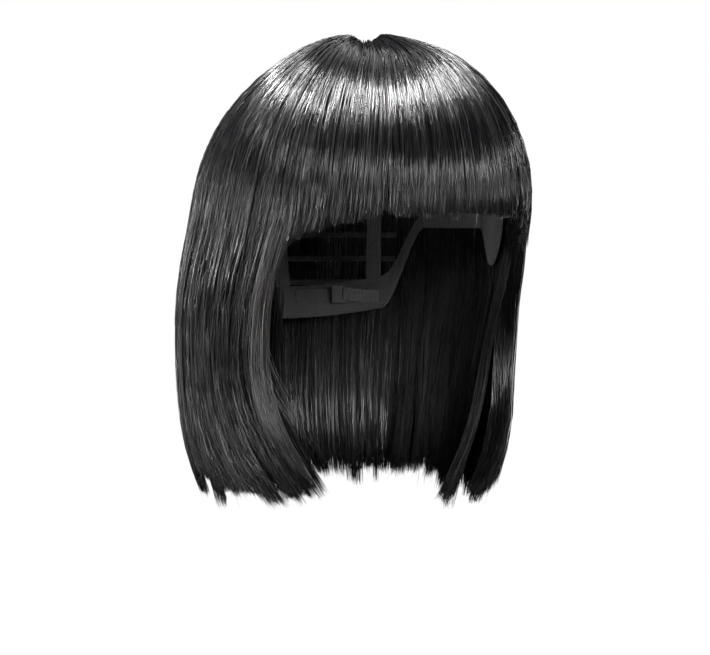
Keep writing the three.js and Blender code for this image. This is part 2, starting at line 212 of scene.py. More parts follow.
def hair_inside(angle, z):
    """The inside of the hanging hair, pushed out to lie on the wefts where it has to."""
    turn = np.radians(angle)
    hanging = hair_outside(angle, z)
    hanging[..., 0] -= CURTAIN_THICKNESS * np.sin(turn)
    hanging[..., 1] += CURTAIN_THICKNESS * np.cos(turn)
    shrink = np.sin(head_polar(z))
    cap_half_width = HEAD_HALF_WIDTH * shrink + HAIR_IN
    cap_half_length = HEAD_HALF_LENGTH * shrink + HAIR_IN
    outside_cap = np.hypot(hanging[..., 0] / cap_half_width, hanging[..., 1] / cap_half_length)
    hanging[..., :2] /= np.minimum(1, outside_cap)[..., None]
    return hanging


def hair_place(angle, level, share):
    """A place in the hair: share is 0 at its inside and 1 at its outside."""
    polar = math.pi / 2 - np.maximum(level, 0) / DOME_HEIGHT
    z_hanging = WIDEST_Z + np.minimum(level, 0)
    z_dome = WIDEST_Z + DOME_HEIGHT * np.cos(polar)
    hangs = (level < 0)[..., None]
    inside = np.where(
        hangs, hair_inside(angle, z_hanging), head_point(angle, polar, HAIR_IN * np.ones_like(polar))
    )
    outside = hair_outside(angle, np.where(level < 0, z_hanging, z_dome))
    return inside + (outside - inside) * share[..., None]


def level_of(z):
    height = z - WIDEST_Z
    dome = DOME_HEIGHT * np.arcsin(np.clip(height / DOME_HEIGHT, 0, 1))
    return np.where(height < 0, height, dome)


# ---- Meshes ----
BAKE_MAP = "OFBake"
TONE_COLUMN = 0.003  # width of one strand's column in its bake map
BAKE_MARGIN = 0.01


def bake_places(tones, steps, sides):
    """Places in the bake map: a column at each strand's tone, and a small patch for each of its ends."""
    column = TONE_COLUMN * np.arange(sides + 1) / sides
    along = np.linspace(BAKE_MARGIN, 1 - BAKE_MARGIN, steps)
    u = (tones[:, None] + column)[:, None, :] + np.zeros((1, steps, 1))
    v = along[None, :, None] + np.zeros_like(u)
    grid = np.stack([u, v], -1)
    quad_map = np.stack([grid[:, :-1, :-1], grid[:, :-1, 1:], grid[:, 1:, 1:], grid[:, 1:, :-1]], -2)
    cap_u = tones[:, None] + TONE_COLUMN * np.arange(sides) / sides
    cap_v = TONE_COLUMN * (np.arange(sides) % 2) + np.zeros_like(cap_u)
    cap_map = np.concatenate(
        [np.stack([cap_u, cap_v + along[0]], -1), np.stack([cap_u, cap_v + along[-1]], -1)]
    )
    return np.concatenate([quad_map.reshape(-1, 2), cap_map.reshape(-1, 2)])


def tubes(name, paths, radii, tones, sides, rng):
    """One mesh of closed tubes along paths (strand, step, xyz), with a bake map by strand tone."""
    strands, steps, _ = paths.shape
    tangent = unit(np.gradient(paths, axis=1))
    across = unit(np.cross(head_normal(paths), tangent))
    outward = np.cross(tangent, across)
    turns = 2 * math.pi * (np.arange(sides) / sides + rng.random((strands, 1, 1)))
    spoke = np.cos(turns)[..., None] * across[:, :, None] + np.sin(turns)[..., None] * outward[:, :, None]
    ring = paths[:, :, None] + radii[:, :, None, None] * spoke
    index = np.arange(strands * steps * sides).reshape(strands, steps, sides)
    low, high = index[:, :-1], index[:, 1:]
    quads = np.stack([low, np.roll(low, -1, 2), np.roll(high, -1, 2), high], -1).reshape(-1, 4)
    caps = np.concatenate([index[:, 0, ::-1], index[:, -1]])

    mesh = bpy.data.meshes.new(name)
    mesh.vertices.add(strands * steps * sides)
    mesh.vertices.foreach_set("co", ring.astype(np.float32).ravel())
    corners = np.concatenate([quads.ravel(), caps.ravel()])
    mesh.loops.add(len(corners))
    mesh.loops.foreach_set("vertex_index", corners.astype(np.int32))
    starts = np.concatenate(
        [4 * np.arange(len(quads)), 4 * len(quads) + sides * np.arange(len(caps))]
    )
    mesh.polygons.add(len(starts))
    mesh.polygons.foreach_set("loop_start", starts.astype(np.int32))
    mesh.polygons.foreach_set("use_smooth", np.ones(len(starts), bool))
    bake_map = mesh.uv_layers.new(name=BAKE_MAP)
    places = bake_places(tones, steps, sides)
    bake_map.uv.foreach_set("vector", places.astype(np.float32).ravel())
    mesh.update(calc_edges=True)
    piece = bpy.data.objects.new(name, mesh)
    bpy.context.scene.collection.objects.link(piece)
    return piece


# ---- Strands ----
THIN_SPOT = 0.29  # where the fringe thins out, as a share of its width
THIN_SPOT_HALF = 0.026
THIN_SPOT_NICK = 0.005
THIN_SPOT_PUSH = 0.016

# How far over the CAD hair's lowest level tips end: left front, right front, back and back lock.
TIP_LIFT = 0.0015
RIGHT_TIP_LIFT = 0.005
BACK_LIFT = 0.0115
BACK_LOCK_LIFT = 0.0015
LEFT_TO_BACK = (0.4, 0.75)  # shares of a section's width between which its tips rise to the back's
RIGHT_TO_BACK = (0.25, 0.55)
UNDER_TO_BACK = (0.3, 0.7)
BESIDE_LOCK = 0.12  # where the right curtain is nicked beside its hanging back lock
BESIDE_LOCK_HALF = 0.10
BESIDE_LOCK_LIFT = 0.007


def curtain_front(level):
    """The angle of the curtains' front edges, which reach forward more and more near the tips."""
    near_tips = np.clip((-level - HAIR_DROP + TIP_SWEEP_HEIGHT) / TIP_SWEEP_HEIGHT, 0, 1)
    return CURTAIN_FRONT_ANGLE - TIP_SWEEP * near_tips**TIP_SWEEP_EASE


def fringe_edges(level):
    return -FRINGE_ANGLE + 0 * level, FRINGE_ANGLE + 0 * level


def left_edges(level):
    return curtain_front(level), SIDE_BACK_ANGLE + 0 * level


def right_edges(level):
    return -SIDE_BACK_ANGLE + 0 * level, -curtain_front(level)


def back_lock_edges(level):
    """A narrow lock at the back of the wearer's right curtain that hangs lower than its neighbours."""
    return -BACK_LOCK_ANGLE - BACK_LOCK_HALF + 0 * level, -BACK_LOCK_ANGLE + BACK_LOCK_HALF + 0 * level


def flyaway_edges(level):
    """A wide band at the wearer's right front edge, for loose hairs that bend forward over the cheek."""
    ahead = FLYAWAY_AHEAD * smoothstep(-level, *FLYAWAY_DROPS)
    return -curtain_front(level) - FLYAWAY_AHEAD, -curtain_front(level) + ahead


def front_lock_edges(level):
    """A narrow lock that frames the face on the wearer's right."""
    return -curtain_front(level) - FRONT_LOCK_BEHIND, -curtain_front(level) + FRONT_LOCK_AHEAD


def under_front(level):
    return curtain_front(level) - UNDER_REACH * smoothstep(-level, UNDER_REACH_DROP, UNDER_REACH_END)


def under_left_edges(level):
    return under_front(level), SIDE_BACK_ANGLE + 0 * level


def under_right_edges(level):
    return -SIDE_BACK_ANGLE + 0 * level, -under_front(level)


def back_edges(level):
    """The back's edges lie a little way over the side sections, so that no gap shows between them."""
    return SIDE_BACK_ANGLE - BACK_OVERLAP + 0 * level, 360 - SIDE_BACK_ANGLE + BACK_OVERLAP + 0 * level


def fringe_tips(across):
    """The fringe's cut: level in front, lower at both corners, and nicked at its thin spot."""
    nick = THIN_SPOT_NICK * np.exp(-(((across - THIN_SPOT) / THIN_SPOT_HALF) ** 2))
    return level_of(FRINGE_Z - FRINGE_CORNER_DROP * np.abs(2 * across - 1) ** 3 + nick)


def left_tips(across):
    """The wearer's left: cut low in front and rising to the back's length."""
    return level_of(TIP_Z) + TIP_LIFT + BACK_LIFT * smoothstep(across, *LEFT_TO_BACK)


def right_tips(across):
    """The wearer's right: a little shorter in front, and nicked beside its hanging back lock."""
    to_back = smoothstep(1 - across, *RIGHT_TO_BACK)
    beside_lock = BESIDE_LOCK_LIFT * np.exp(-(((across - BESIDE_LOCK) / BESIDE_LOCK_HALF) ** 2))
    return level_of(TIP_Z) + RIGHT_TIP_LIFT + (BACK_LIFT - RIGHT_TIP_LIFT) * to_back + beside_lock


def back_lock_tips(across):
    return level_of(TIP_Z) + BACK_LOCK_LIFT + 0 * across


def back_tips(across):
    return level_of(TIP_Z) + BACK_LIFT + 0 * across


def under_tips(across):
    return level_of(UNDER_TIP_Z) + 0 * across


def under_left_tips(across):
    """The wearer's left under hair shows below the face, so it reaches as far down as the curtain."""
    return level_of(TIP_Z) + (BACK_LIFT + TIP_LIFT) * smoothstep(across, *UNDER_TO_BACK)


FAMILY = {
    "steps": 20,
    "shares": (0.55, 1.04),
    "radius": 0.00024,
    "clump": 0.004,  # metres between the middles of two locks
    "gather": 0.75,  # how far a lock's strands close up at its tip
    "wave": 0.0008,
    "drift": 0.002,
    "ragged": 0.0018,
    "bevel": 0.008,  # how much shorter the outermost strands are than the inner ones
    "corner": 0.009,  # how much shorter the strands at the section's front corner are
    "push": 0.0,  # how far the strands stand out near their tips
    "root_levels": None,
    "from_whorl": 0.4,  # share of the strands that start at the whorl and lie over the others
    "thin_spot": 0.0,  # how far strands are pushed aside from the fringe's thin spot, at their tips
    "group": 0.3,  # how far whole groups of locks close up at their tips
}

# Where locks and strands lie, and how far they wander. Pairs are the ends of an even random range.
WIDTH_LEVEL = -0.05  # where a section's width is measured
SEGMENT_RADIUS = 0.09
LOCK_PLACES = (0.15, 0.85)  # a lock's middle, as a share of its own stretch of the section
LOCK_GROUP = 3.5  # locks to a group that keeps together down to the tips
GROUP_PLACES = (0.2, 0.8)
LOCK_BLUR = 0.006
LOCK_WAVES = (0.4, 1.0)
LOCK_WAVE_LENGTHS = (0.07, 0.14)
OWN_WAVE = 0.4  # a strand's own wave, as a share of its family's
OWN_WAVE_LENGTHS = (0.05, 0.1)
LOCK_RAGGED = 0.8  # unevenness of the tips by lock, by group and by strand
GROUP_RAGGED = 1.2
OWN_RAGGED = 0.5
LOCK_SHARES = 0.05
SHARE_WAVE = 0.03
SHARE_WAVE_LENGTH = 0.8
SHARE_LIMITS = (0.02, 1.08)

# Roots and tips.
ROOT_SINES = (0.004, 0.97)
WHORL_START = 0.004
WHORL_POLAR = 0.22
ROOT_SINK = 0.8
ROOT_RISE = 0.022
RISE_START = -0.002
WHORL_RISE = 0.009
WHORL_SPREAD = 0.03
SWIRL_ANGLE = 35
SWIRL_REACH = 0.012
BEVEL_FROM = 0.3
CORNER_REACH = 0.3
GATHER_HEIGHT = 0.09  # how far over their tips locks start to close up
DRIFT_PIVOT = 0.3
ROOT_CALM = 0.08  # how much of the wave is left near the roots
HANGING_DROPS = (-0.09, 0.04)
PUSH_DROPS = (0.0, 0.16)
EDGE_SLACK = 0.002
END_RING = 0.0003
STEP_WARP = 0.15  # how much closer together the steps are near a strand's two ends
RADIUS_SPREAD = (0.75, 1.25)
ROOT_TAPER = 0.4
NEAR_TIP_TAPER = 0.8
TIP_TAPER = 0.15
LOCK_TONE = 0.7
OWN_TONE = 0.3


def comb(rng, count, edges, tips, family):
    """Paths, radii and tones of one family of strands that hang between two edges."""
    steps = family["steps"]
    low, high = edges(np.array([WIDTH_LEVEL]))
    width = np.radians(high - low)[0] * SEGMENT_RADIUS
    locks = max(2, int(width / family["clump"]))
    lock_at = (np.arange(locks) + rng.uniform(*LOCK_PLACES, locks)) / locks
    lock_wave = rng.uniform(*LOCK_WAVES, locks) * family["wave"]
    lock_phase = rng.uniform(0, 2 * math.pi, locks)
    lock_length = rng.uniform(*LOCK_WAVE_LENGTHS, locks)
    lock_ragged = rng.normal(0, LOCK_RAGGED, locks) * family["ragged"]
    lock_tone = rng.random(locks)
    lock_share = rng.normal(0, LOCK_SHARES, locks)
    groups = max(1, round(locks / LOCK_GROUP))
    group_at = (np.arange(groups) + rng.uniform(*GROUP_PLACES, groups)) / groups
    lock_group = np.abs(lock_at[:, None] - group_at[None]).argmin(1)
    lock_ragged += (rng.normal(0, GROUP_RAGGED, groups) * family["ragged"])[lock_group]

    start = rng.random(count)
    lock = np.abs(start[:, None] - lock_at[None] + rng.normal(0, LOCK_BLUR, (count, 1))).argmin(1)
    polar = np.arcsin(rng.uniform(*ROOT_SINES, count))
    from_whorl = rng.random(count) < family["from_whorl"]
    polar = np.where(from_whorl, rng.uniform(WHORL_START, WHORL_POLAR, count), polar)
    low_share, high_share = family["shares"]
    share_end = rng.uniform(low_share, high_share, count)
    share_end -= ROOT_SINK * (high_share - low_share) * polar / (math.pi / 2)
    tip = tips(start) + lock_ragged[lock] + rng.normal(0, OWN_RAGGED, count) * family["ragged"]
    tip += family["bevel"] * np.clip((share_end - BEVEL_FROM) / (1 - BEVEL_FROM), 0, 1) ** 2
    tip += family["corner"] * (1 - smoothstep(from_front(edges, start), 0, CORNER_REACH))
    if family["root_levels"] is None:
        root = TOP_LEVEL - DOME_HEIGHT * polar
    else:
        root = rng.uniform(*family["root_levels"], count)
    even = np.linspace(0, 1, steps - 2)
    even = even - STEP_WARP * np.sin(2 * math.pi * even) / (2 * math.pi)
    # A ring right beside each end keeps the end's own facing out of the strand's shading.
    along = np.concatenate([[0, END_RING], even[1:-1], [1 - END_RING, 1]])[None]
    level = root[:, None] + (tip - root)[:, None] * along

    near_tip = smoothstep(-level, -tip[:, None] - GATHER_HEIGHT, -tip[:, None])
    pull = family["gather"] * near_tip
    across = start[:, None] + (lock_at[lock] - start)[:, None] * pull
    across += (group_at[lock_group[lock]] - lock_at[lock])[:, None] * pull * family["group"]
    off_spot = (start - THIN_SPOT)[:, None] / THIN_SPOT_HALF
    across += family["thin_spot"] * off_spot * np.exp(-(off_spot**2)) * near_tip
    across += rng.normal(0, family["drift"], (count, 1)) / width * (along - DRIFT_PIVOT)
    length_of_lock = lock_length[lock][:, None]
    phase_of_lock = lock_phase[lock][:, None]
    wave = np.sin(level * 2 * math.pi / length_of_lock + phase_of_lock)
    own_length = rng.uniform(*OWN_WAVE_LENGTHS, (count, 1))
    own_phase = rng.uniform(0, 2 * math.pi, (count, 1))
    own_wave = np.sin(level * 2 * math.pi / own_length + own_phase)
    hanging = smoothstep(-level, *HANGING_DROPS)
    sideways = wave * lock_wave[lock][:, None] + own_wave * family["wave"] * OWN_WAVE
    across += sideways * (ROOT_CALM + (1 - ROOT_CALM) * hanging) / width
    across = np.clip(across, -EDGE_SLACK / width, 1 + EDGE_SLACK / width)

    low, high = edges(level)
    angle = low + (high - low) * across
    from_top = TOP_LEVEL - level
    angle += SWIRL_ANGLE * np.exp(-from_top / SWIRL_REACH)
    root_from_top = TOP_LEVEL - root[:, None]
    reach = WHORL_RISE + (ROOT_RISE - WHORL_RISE) * smoothstep(root_from_top, 0, WHORL_SPREAD)
    rise = smoothstep(root[:, None] - level, RISE_START, reach)
    share = (share_end + lock_share[lock])[:, None] + SHARE_WAVE * own_wave
    share_wave = np.sin(level * 2 * math.pi / (length_of_lock * SHARE_WAVE_LENGTH) + phase_of_lock)
    share += SHARE_WAVE * share_wave
    share = np.clip(share, *SHARE_LIMITS) * rise
    share += family["push"] / CURTAIN_THICKNESS * smoothstep(-level, *PUSH_DROPS)
    paths = hair_place(angle, level, share)

    radii = family["radius"] * rng.uniform(*RADIUS_SPREAD, (count, 1)) * np.ones((1, steps))
    radii[:, :2] *= ROOT_TAPER
    radii[:, -3] *= NEAR_TIP_TAPER
    radii[:, -2:] *= TIP_TAPER
    tones = np.clip(LOCK_TONE * lock_tone[lock] + OWN_TONE * rng.random(count), 0, 1)
    return paths, radii, tones * (1 - 2 * TONE_COLUMN)


def from_front(edges, across):
    """How far strands are from a side section's front corner; the other families have no such corner."""
    if edges is left_edges:
        return across
    if edges is right_edges:
        return 1 - across
    return np.ones_like(across)


# ---- Materials ----
TONE_SCALE = 90.0
TONE_RANGE = (0.3, 0.72)
ROUGH_RANGE = (0.3, 0.7)
SMOOTHER = 0.06  # how far the roughness of single strands goes under and over their material's
ROUGHER = 0.08
TIP_CAST_FROM = 0.7  # share of a strand's length where it starts to turn browner
TIP_CAST = 0.6
FIBRE_IOR = 1.55


def new_material(name):
    material = bpy.data.materials.new(name)
    material.use_nodes = True
    tree = material.node_tree
    shader = tree.nodes["Principled BSDF"]
    return material, tree, shader


def add_node(tree, kind, values=None, **settings):
    made = tree.nodes.new(kind)
    for key, value in settings.items():
        setattr(made, key, value)
    for key, value in (values or {}).items():
        made.inputs[key].default_value = value
    return made


def calculate(tree, operation, *inputs):
    """The result of a maths node whose inputs are numbers or other nodes' outputs."""
    made = add_node(tree, "ShaderNodeMath", operation=operation)
    for socket, value in zip(made.inputs, inputs):
        if isinstance(value, (int, float)):
            socket.default_value = value
        else:
            tree.links.new(value, socket)
    return made.outputs[0]


def colour_ramp(tree, source, dark, light, low=0.0, high=1.0):
    """A colour that goes from dark to light while its source goes from low to high."""
    ramp = add_node(tree, "ShaderNodeValToRGB")
    for number, (position, colour) in enumerate(((low, dark), (high, light))):
        ramp.color_ramp.elements[number].position = position
        ramp.color_ramp.elements[number].color = (*colour, 1)
    tree.links.new(source, ramp.inputs["Fac"])
    return ramp.outputs["Color"]


def add_bump(tree, shader, height, strength, distance):
    raised = add_node(tree, "ShaderNodeBump", {"Strength": strength, "Distance": distance})
    tree.links.new(height, raised.inputs["Height"])
    tree.links.new(raised.outputs["Normal"], shader.inputs["Normal"])


def bake_place(tree):
    """A strand's place in its bake map: X is its tone, and Y runs from its root to its tip."""
    place = add_node(tree, "ShaderNodeUVMap", uv_map=BAKE_MAP)
    parts = add_node(tree, "ShaderNodeSeparateXYZ")
    tree.links.new(place.outputs["UV"], parts.inputs[0])
    return parts.outputs["X"], parts.outputs["Y"]


def hair_material(name, dark, light, tip_colour, roughness, specular):
    """Fibre colour: a tone of its own for each strand, and a browner cast towards the tips."""
    material, tree, shader = new_material(name)
    link = tree.links.new
    strand, along = bake_place(tree)
    tone = add_node(
        tree, "ShaderNodeTexNoise", {"Scale": TONE_SCALE, "Detail": 2.0}, noise_dimensions="1D"
    )
    link(strand, tone.inputs["W"])
    fibre_colour = colour_ramp(tree, tone.outputs["Fac"], dark, light, *TONE_RANGE)
    tip_range = {"From Min": TIP_CAST_FROM, "From Max": 1.0, "To Max": TIP_CAST}
    tip = add_node(tree, "ShaderNodeMapRange", tip_range)
    link(along, tip.inputs["Value"])
    mix = add_node(tree, "ShaderNodeMix", data_type="RGBA")
    link(tip.outputs["Result"], mix.inputs["Factor"])
    link(fibre_colour, mix.inputs["A"])
    mix.inputs["B"].default_value = (*tip_colour, 1)
    link(mix.outputs["Result"], shader.inputs["Base Color"])
    rough_range = {"To Min": roughness - SMOOTHER, "To Max": roughness + ROUGHER}
    rough_range["From Min"], rough_range["From Max"] = ROUGH_RANGE
    rough = add_node(tree, "ShaderNodeMapRange", rough_range)
    link(tone.outputs["Fac"], rough.inputs["Value"])
    link(rough.outputs["Result"], shader.inputs["Roughness"])
    shader.inputs["IOR"].default_value = FIBRE_IOR
    shader.inputs["Specular IOR Level"].default_value = specular
    return material


HAIR = hair_material(
    "hair_fibre",
    dark=(0.0010, 0.0009, 0.0015),
    light=(0.0046, 0.0042, 0.0054),
    tip_colour=(0.0048, 0.0033, 0.0032),
    roughness=0.21,
    specular=1.0,
)
# A much lighter copy of the hair fibre: painted highlight, used for the front lock and the loose hairs.
PAINTED_HIGHLIGHT_HAIR = hair_material(
    "painted_highlight_fibre",
    dark=(0.012, 0.0114, 0.0115),
    light=(0.052, 0.049, 0.047),
    tip_colour=(0.006, 0.0042, 0.0037),
    roughness=0.28,
    specular=1.0,
)
# A darker, less glossy copy of the hair fibre for the under hair: painted shade inside the hair.
PAINTED_SHADE_UNDER_HAIR = hair_material(
    "painted_shade_under_fibre",
    dark=(0.0008, 0.0007, 0.0010),
    light=(0.0026, 0.0024, 0.0028),
    tip_colour=(0.0040, 0.0028, 0.0024),
    roughness=0.36,
    specular=0.35,
)

# ---- The hair's pieces ----

SEEDS = itertools.count(1)
STRAND_SIDES = 3


def add_strands(name, count, section, edges, tips, material, slot, **changes):
    family = {**FAMILY, **changes}
    rng = np.random.default_rng(next(SEEDS))
    paths, radii, tones = comb(rng, count, edges, tips, family)
    piece = tubes(name, paths, radii, tones, STRAND_SIDES, rng)
    piece.data.materials.append(material)
    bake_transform(piece)
    return piece


FINE_FRINGE = {
    "steps": 15,
    "shares": (0.5, 1.04),
    "clump": 0.005,
    "gather": 0.35,
    "ragged": 0.0011,
    "bevel": 0.0,
    "corner": 0.0,
    "thin_spot": THIN_SPOT_PUSH,
}
SMOOTH_ENDS = {"gather": 0.5, "group": 0.15, "ragged": 0.0011, "bevel": 0.006}
BODY = {"steps": 14, "shares": (0.08, 0.6), "radius": 0.00032}
BODY_STRANDS = 1500

# Section, pieces, strands to a piece, edges, tips, and what differs from FAMILY.
OUTER = [
    ("fringe", 3, 2200, fringe_edges, fringe_tips, FINE_FRINGE),
    ("side_left", 2, 1700, left_edges, left_tips, {"wave": 0.0014, "push": 0.003}),
    ("side_right", 2, 1700, right_edges, right_tips, {"gather": 0.6, "ragged": 0.0014, "bevel": 0.006}),
    ("back", 3, 1700, back_edges, back_tips, SMOOTH_ENDS),
]
for section, pieces, count, edges, tips, changes in OUTER:
    for number in range(1, pieces + 1):
        name = f"hair_{section}_strands_{number}"
        add_strands(name, count, section, edges, tips, HAIR, "hair", **changes)
    body = {**changes, **BODY}
    add_strands(f"hair_{section}_body", BODY_STRANDS, section, edges, tips, HAIR, "hair", **body)
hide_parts("hair_fringe", "hair_crown")
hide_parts("hair_side_left")
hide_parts("hair_side_right")
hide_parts("hair_back")

FRONT_LOCK = {
    "root_levels": (-0.012, 0.03),
    "shares": (0.75, 1.05),
    "gather": 0.3,
    "bevel": 0.03,
    "drift": 0.002,
}
BACK_LOCK = {
    "root_levels": (0.02, 0.10),
    "shares": (0.8, 1.06),
    "gather": 0.85,
    "bevel": 0.0,
    "drift": 0.001,
}
LOCKS = [
    # The front lock has the lighter fibre, a painted highlight along the curtain's front edge.
    ("front", 420, front_lock_edges, right_tips, PAINTED_HIGHLIGHT_HAIR, FRONT_LOCK),
    ("back", 220, back_lock_edges, back_lock_tips, HAIR, BACK_LOCK),
]
for place, count, edges, tips, material, changes in LOCKS:
    name = f"hair_side_right_{place}_lock"
    add_strands(name, count, "side_right", edges, tips, material, "hair", **changes)

LOOSE = {
    "radius": 0.00011,
    "gather": 0.0,
    "wave": 0.002,
    "ragged": 0.004,
    "from_whorl": 0.3,
    "shares": (1.04, 1.16),
    "bevel": 0.0,
}
CHEEK = {"root_levels": (0.0, 0.04), "ragged": 0.012, "drift": 0.003, "shares": (0.8, 1.1)}
FLYAWAYS = [
    ("fringe", "fringe", 18, fringe_edges, fringe_tips, {"drift": 0.012}),
    ("side_left", "side_left", 40, left_edges, left_tips, {"drift": 0.010}),
    ("side_right", "side_right", 26, right_edges, right_tips, {"drift": 0.010}),
    ("back", "back", 40, back_edges, back_tips, {"drift": 0.010}),
    ("cheek", "side_right", 36, flyaway_edges, back_tips, CHEEK),
]
for place, section, count, edges, tips, changes in FLYAWAYS:
    loose = {**LOOSE, **changes}
    # Loose hairs have the lighter fibre: painted highlight.
    add_strands(f"hair_{place}_flyaways", count, section, edges, tips, PAINTED_HIGHLIGHT_HAIR, "hair", **loose)

UNDER_STRANDS = 2000
UNDER_FAMILY = {
    "steps": 14,
    "shares": (0.03, 0.45),
    "root_levels": (level_of(UNDER_TOP_Z), 0.03),
    "ragged": 0.003,
    "bevel": 0.0,
    "radius": 0.0002,
}
UNDER = [
    ("side_left", under_left_edges, under_left_tips, "under_hair_left", {"push": -0.011}),
    ("side_right", under_right_edges, under_tips, "under_hair_right", {}),
    ("back", back_edges, under_tips, "under_hair_back", {}),
]
for section, edges, tips, node, changes in UNDER:
    name = f"under_{section}_strands"
    under = {**UNDER_FAMILY, **changes}
    # The under hair has the darker fibre: painted shade.
    piece = add_strands(name, UNDER_STRANDS, section, edges, tips, PAINTED_SHADE_UNDER_HAIR, "under_hair", **under)
    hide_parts(node)

# ---- The cap: its woven materials, its stitches and its adjusters ----
FRONT_EDGE_Z = -0.062
TEMPLE_DROP = 0.016
TEMPLE_ANGLE = 61
FRONT_BAND_HEIGHT = 0.012
EAR_FRONT_ANGLE = 85
EAR_BACK_ANGLE = 117
EAR_EDGE_Z = -0.096
EAR_ELASTIC_HEIGHT = 0.008
EAR_TAB_DIP = 0.030
NAPE_EDGE_Z = -0.150
NAPE_BAND_HEIGHT = 0.018
NAPE_RISE = 0.006
NAPE_TURN = 45
BAND_THICKNESS = 0.0009
WEFT_IN = 0.0023
WEFT_THICKNESS = 0.0013
WEFT_HEIGHT = 0.003
WEFT_ROWS = {
    "fringe": (-57, 57, (-0.014, -0.026, -0.038, -0.050)),
    "long": (64, 296, (-0.020, -0.036, -0.052, -0.068, -0.084)),
    "nape": (130, 230, (-0.101, -0.115, -0.129)),
}

AROUND_SAMPLES = 2400
STITCH_LIFT = 0.00012
STITCH_RADIUS = 0.00016
STITCH_PITCH = 0.003
STITCH_SHARE = 0.7
STITCH_SHOULDER = 0.25  # share of a stitch over which it rises out of the cloth, and sinks back
SEAM_INSET = 0.0016  # from a band's edge to its stitches
ZIGZAG_PITCH = 0.0016
ZIGZAG_HALF_HEIGHT = 0.38  # as a share of the weft's height
ZIGZAG_THREAD = 0.8  # thickness against the other stitches'
HEM_RADIUS = 0.0006
HEM_DROP = 0.0002
HEM_PITCH = 0.0022
INSIDE = -0.00012  # a thread on the side of the cap that faces the head
RING_START = -179.9  # once round the cap, to just short of the start
RING_END = 180


def front_lower(angle):
    return FRONT_EDGE_Z - TEMPLE_DROP * (angle / TEMPLE_ANGLE) ** 2


def cap_edges(angle):
    """The heights of the cap's lower and upper edges at an angle from 0 to 180 off the forehead."""
    share = np.clip((angle - TEMPLE_ANGLE) / (EAR_FRONT_ANGLE - TEMPLE_ANGLE), 0, 1)
    temple_low = front_lower(TEMPLE_ANGLE)
    tab_low = temple_low + (EAR_EDGE_Z - temple_low) * share - EAR_TAB_DIP * np.sin(math.pi * share)
    tab_top = temple_low + FRONT_BAND_HEIGHT
    tab_top = tab_top + (EAR_EDGE_Z + EAR_ELASTIC_HEIGHT - tab_top) * share
    off_nape = 180 - angle
    turned = smoothstep(off_nape, NAPE_TURN, 180 - EAR_BACK_ANGLE)
    nape_low = NAPE_EDGE_Z + NAPE_RISE * np.minimum(1, off_nape / NAPE_TURN) ** 2
    nape_low = nape_low + (EAR_EDGE_Z - nape_low) * turned
    nape_top = nape_low + NAPE_BAND_HEIGHT + (EAR_ELASTIC_HEIGHT - NAPE_BAND_HEIGHT) * turned
    where = [angle <= TEMPLE_ANGLE, angle <= EAR_FRONT_ANGLE, angle <= EAR_BACK_ANGLE]
    low = np.select(where, [front_lower(angle), tab_low, EAR_EDGE_Z + 0 * angle], nape_low)
    top = np.select(
        where,
        [front_lower(angle) + FRONT_BAND_HEIGHT, tab_top, EAR_EDGE_Z + EAR_ELASTIC_HEIGHT + 0 * angle],
        nape_top,
    )
    return low, top


def head_at(angle, z, offset):
    return head_point(angle, head_polar(z), offset + np.zeros_like(angle * 1.0))


def around(from_angle, to_angle, edge, offset, pitch):
    """Points evenly spaced along a line round the head, at the height that edge() gives."""
    angle = np.linspace(from_angle, to_angle, AROUND_SAMPLES)
    folded = np.abs((angle + 180) % 360 - 180)
    line = head_at(angle, edge(folded), offset)
    run = np.concatenate([[0], np.cumsum(np.linalg.norm(np.diff(line, axis=0), axis=1))])
    stops = np.linspace(0, run[-1], max(3, int(run[-1] / pitch)))
    return np.stack([np.interp(stops, run, line[:, axis]) for axis in range(3)], -1)


def stitch_row(line, stitch_share):
    """Straight stitches along a line of points, each the given share of its pitch long."""
    start, end = line[:-1], line[:-1] + (line[1:] - line[:-1]) * stitch_share
    lift = head_normal((start + end) / 2) * STITCH_LIFT
    rises = start + (end - start) * STITCH_SHOULDER + lift
    sinks = start + (end - start) * (1 - STITCH_SHOULDER) + lift
    return np.stack([start, rises, sinks, end], 1)


def zigzag(low_line, top_line):
    """The slanting stitches of a zigzag seam between two lines of points."""
    count = min(len(low_line), len(top_line))
    points = np.where((np.arange(count) % 2 == 0)[:, None], low_line[:count], top_line[:count])
    return stitch_row(points, 1.0)


THREAD_TURNS = 60.0


def stitch_material():
    """Twisted black sewing thread: its pale turns along each stitch are painted highlights on the twist,
    between dark ones.
    """
    material, tree, shader = new_material("sewing_thread")
    _, along = bake_place(tree)
    wave = calculate(tree, "SINE", calculate(tree, "MULTIPLY", along, THREAD_TURNS))
    colour = colour_ramp(tree, wave, (0.020, 0.020, 0.021), (0.110, 0.108, 0.112))
    tree.links.new(colour, shader.inputs["Base Color"])
    shader.inputs["Roughness"].default_value = 0.5
    return material


def add_threads(name, paths, radius, material, sides=5):
    rng = np.random.default_rng(len(paths))
    radii = np.full(paths.shape[:2], radius)
    piece = tubes(name, paths, radii, rng.random(len(paths)) * (1 - 2 * TONE_COLUMN), sides, rng)
    piece.data.materials.append(material)
    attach(piece, "cap")


def lower_seam(angle):
    return cap_edges(angle)[0] + SEAM_INSET


def upper_seam(angle):
    return cap_edges(angle)[1] - SEAM_INSET


def hem_line(angle):
    return cap_edges(angle)[0] - HEM_DROP


